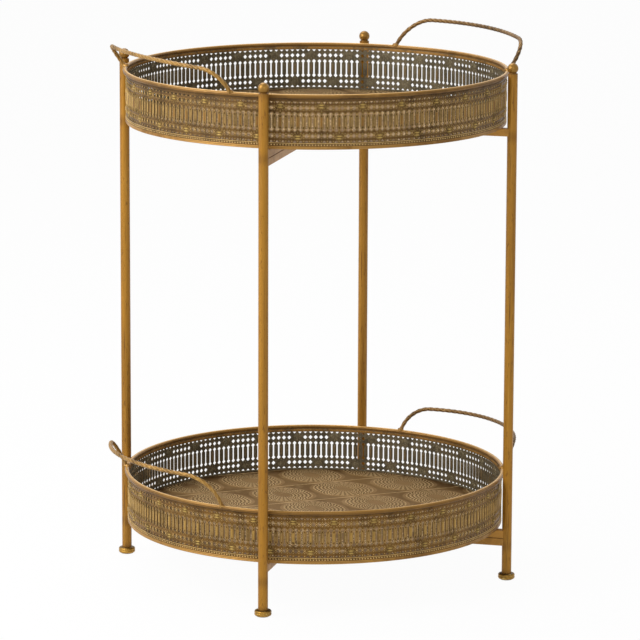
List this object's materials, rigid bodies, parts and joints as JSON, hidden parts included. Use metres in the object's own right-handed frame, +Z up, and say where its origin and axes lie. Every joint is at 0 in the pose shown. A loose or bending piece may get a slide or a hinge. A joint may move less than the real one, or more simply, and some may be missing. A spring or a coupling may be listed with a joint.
{
  "type": "serving trolley",
  "caption": "Round tiered serving trolley: lift-off trays with pierced galleries and twisted side handles on a folding tube frame with ball finials and round feet.",
  "frame": {"origin": "on the floor, under the middle of the trolley", "axes": "+Z up; tray handles towards +X and -X; outer frame's legs at 135 and 315 degrees from +X, inner frame's legs at 45 and 225 degrees"},
  "size_m": [0.5776, 0.515, 0.7249],
  "materials": {
    "frame_metal": "antique gold paint, satin, brushed on with darker streaks",
    "finial_metal": "antique gold paint, glossier ball",
    "foot_metal": "antique gold paint, satin, darker in the joints",
    "bar_metal": "antique gold paint, satin, browner and less rubbed",
    "rim_metal": "antique gold paint, satin, bright on the crown",
    "gallery_metal": "pierced and embossed sheet, dusty brown-gold paint with bright gold rubbed on the rosettes",
    "tray_floor_metal": "embossed sheet, brown-gold patina",
    "band_metal": "antique gold paint, satin",
    "handle_metal": "twisted bar, brown-gold paint rubbed to bright gold",
    "pivot_metal": "plain zinc-plated steel",
    "spacer_nylon": "natural nylon washer",
    "glide_plastic": "grey-beige plastic glide pad"
  },
  "bodies": {
    "outer_frame": {"left_leg": "frame_metal", "left_finial": "finial_metal", "left_foot": "foot_metal", "left_glide": "glide_plastic", "right_leg": "frame_metal", "right_finial": "finial_metal", "right_foot": "foot_metal", "right_glide": "glide_plastic", "outer_upper_bar": "bar_metal", "outer_lower_bar": "bar_metal", "left_lower_support": "bar_metal", "right_lower_support": "bar_metal", "upper_pivot_rivet": "pivot_metal", "upper_pivot_spacer": "spacer_nylon", "upper_pivot_nut": "pivot_metal", "lower_pivot_rivet": "pivot_metal", "lower_pivot_spacer": "spacer_nylon", "lower_pivot_nut": "pivot_metal"},
    "inner_frame": {"front_leg": "frame_metal", "front_finial": "finial_metal", "front_foot": "foot_metal", "front_glide": "glide_plastic", "back_leg": "frame_metal", "back_finial": "finial_metal", "back_foot": "foot_metal", "back_glide": "glide_plastic", "inner_upper_bar": "bar_metal", "inner_lower_bar": "bar_metal", "front_upper_support": "bar_metal", "back_upper_support": "bar_metal"},
    "upper_tray": {"upper_tray_floor": "tray_floor_metal", "upper_tray_gallery": "gallery_metal", "upper_tray_rim": "rim_metal", "upper_tray_band": "band_metal", "upper_tray_left_handle": "handle_metal", "upper_tray_right_handle": "handle_metal"},
    "lower_tray": {"lower_tray_floor": "tray_floor_metal", "lower_tray_gallery": "gallery_metal", "lower_tray_rim": "rim_metal", "lower_tray_band": "band_metal", "lower_tray_left_handle": "handle_metal", "lower_tray_right_handle": "handle_metal"}
  },
  "joints": [
    {"name": "frame_fold", "type": "hinge", "parent": "outer_frame", "child": "inner_frame", "pos_m": [0, 0, 0.3], "axis": [0, 0, 1], "range_deg": [0, 84]},
    {"name": "upper_tray_lift", "type": "slide", "parent": "outer_frame", "child": "upper_tray", "axis": [0, 0, 1], "range_m": [0, 0.15]},
    {"name": "lower_tray_lift", "type": "slide", "parent": "outer_frame", "child": "lower_tray", "axis": [0, 0, 1], "range_m": [0, 0.3]}
  ]
}
